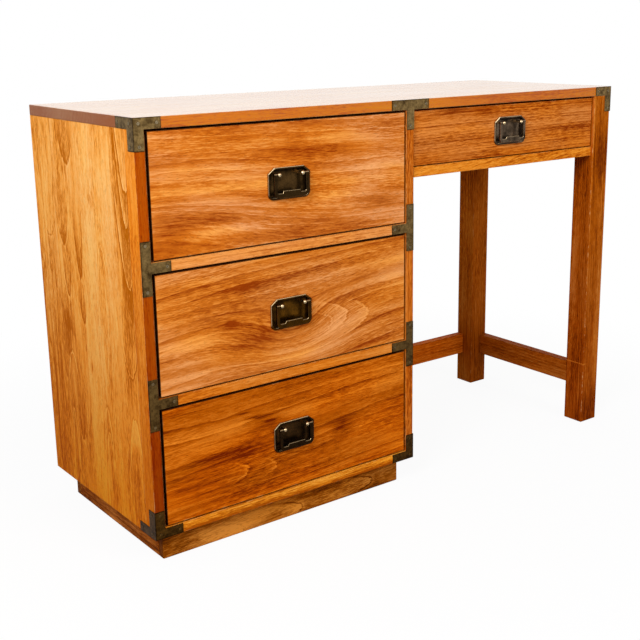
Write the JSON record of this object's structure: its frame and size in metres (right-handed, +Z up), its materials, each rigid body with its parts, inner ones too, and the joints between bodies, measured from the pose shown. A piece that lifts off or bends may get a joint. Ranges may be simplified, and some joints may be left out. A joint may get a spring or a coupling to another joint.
{
  "type": "campaign desk",
  "caption": "Campaign desk: a drawer pedestal on a recessed plinth, a shallow drawer over an open kneehole on square legs, plated corners and recessed bail pulls.",
  "frame": {"origin": "on the floor, at the middle of the footprint with the handles included", "axes": "+X along the length towards the legs, -Y out of the drawer fronts, +Z up"},
  "size_m": [1.1456, 0.4238, 0.762],
  "materials": {
    "top_wood": "satin lacquer",
    "panel_wood": "satin lacquer",
    "frame_wood": "satin lacquer",
    "drawer_front_wood": "satin lacquer",
    "leg_wood": "satin lacquer",
    "plinth_wood": "worn satin lacquer",
    "drawer_box_wood": "bare, sanded",
    "runner_wood": "bare, sanded",
    "bracket_brass": "aged, brown patina",
    "screw_brass": "aged, brown patina",
    "pull_bronze": "aged, dark bronze",
    "post_brass": "rubbed bright"
  },
  "bodies": {
    "carcass": {"bracket_bottom_left": "bracket_brass", "bracket_bottom_right": "bracket_brass", "bracket_screws": "screw_brass", "bracket_tee_top": "bracket_brass", "bracket_top_left": "bracket_brass", "bracket_top_right": "bracket_brass", "brackets_tee_left": "bracket_brass", "brackets_tee_right": "bracket_brass", "desk_top": "top_wood", "front_leg": "leg_wood", "kneehole_back_rail": "frame_wood", "kneehole_front_rail": "frame_wood", "kneehole_runners": "runner_wood", "kneehole_side_apron": "frame_wood", "left_side_lipping": "frame_wood", "left_side_panel": "panel_wood", "lower_divider_rail": "frame_wood", "lower_divider_runners": "runner_wood", "pedestal_back": "panel_wood", "pedestal_bottom": "frame_wood", "plinth_back": "plinth_wood", "plinth_front": "plinth_wood", "plinth_left": "plinth_wood", "plinth_right": "plinth_wood", "rear_leg": "leg_wood", "rear_stretcher": "leg_wood", "right_side_lipping": "frame_wood", "right_side_panel": "panel_wood", "side_stretcher": "leg_wood", "upper_divider_rail": "frame_wood", "upper_divider_runners": "runner_wood"},
    "upper_drawer": {"upper_drawer_front": "drawer_front_wood", "upper_drawer_sides": "drawer_box_wood", "upper_drawer_back": "drawer_box_wood", "upper_drawer_bottom": "drawer_box_wood", "upper_drawer_pull_tray": "pull_bronze", "upper_drawer_pull_posts": "post_brass"},
    "upper_bail": {"upper_drawer_pull_bail": "pull_bronze"},
    "middle_drawer": {"middle_drawer_front": "drawer_front_wood", "middle_drawer_sides": "drawer_box_wood", "middle_drawer_back": "drawer_box_wood", "middle_drawer_bottom": "drawer_box_wood", "middle_drawer_pull_tray": "pull_bronze", "middle_drawer_pull_posts": "post_brass"},
    "middle_bail": {"middle_drawer_pull_bail": "pull_bronze"},
    "lower_drawer": {"lower_drawer_front": "drawer_front_wood", "lower_drawer_sides": "drawer_box_wood", "lower_drawer_back": "drawer_box_wood", "lower_drawer_bottom": "drawer_box_wood", "lower_drawer_pull_tray": "pull_bronze", "lower_drawer_pull_posts": "post_brass"},
    "lower_bail": {"lower_drawer_pull_bail": "pull_bronze"},
    "kneehole_drawer": {"kneehole_drawer_front": "drawer_front_wood", "kneehole_drawer_sides": "drawer_box_wood", "kneehole_drawer_back": "drawer_box_wood", "kneehole_drawer_bottom": "drawer_box_wood", "kneehole_drawer_pull_tray": "pull_bronze", "kneehole_drawer_pull_posts": "post_brass"},
    "kneehole_bail": {"kneehole_drawer_pull_bail": "pull_bronze"}
  },
  "joints": [
    {"name": "upper_drawer_slide", "type": "slide", "parent": "carcass", "child": "upper_drawer", "axis": [0, -1, 0], "range_m": [0, 0.3]},
    {"name": "upper_bail_hinge", "type": "hinge", "parent": "upper_drawer", "child": "upper_bail", "pos_m": [-0.28175, -0.2081, 0.64992], "axis": [-1, 0, 0], "range_deg": [0, 90]},
    {"name": "middle_drawer_slide", "type": "slide", "parent": "carcass", "child": "middle_drawer", "axis": [0, -1, 0], "range_m": [0, 0.3]},
    {"name": "middle_bail_hinge", "type": "hinge", "parent": "middle_drawer", "child": "middle_bail", "pos_m": [-0.28325, -0.2081, 0.41925], "axis": [-1, 0, 0], "range_deg": [0, 90]},
    {"name": "lower_drawer_slide", "type": "slide", "parent": "carcass", "child": "lower_drawer", "axis": [0, -1, 0], "range_m": [0, 0.3]},
    {"name": "lower_bail_hinge", "type": "hinge", "parent": "lower_drawer", "child": "lower_bail", "pos_m": [-0.28325, -0.2081, 0.18858], "axis": [-1, 0, 0], "range_deg": [0, 90]},
    {"name": "kneehole_drawer_slide", "type": "slide", "parent": "carcass", "child": "kneehole_drawer", "axis": [0, -1, 0], "range_m": [0, 0.28]},
    {"name": "kneehole_bail_hinge", "type": "hinge", "parent": "kneehole_drawer", "child": "kneehole_bail", "pos_m": [0.26775, -0.2016, 0.703], "axis": [-1, 0, 0], "range_deg": [0, 90]}
  ]
}
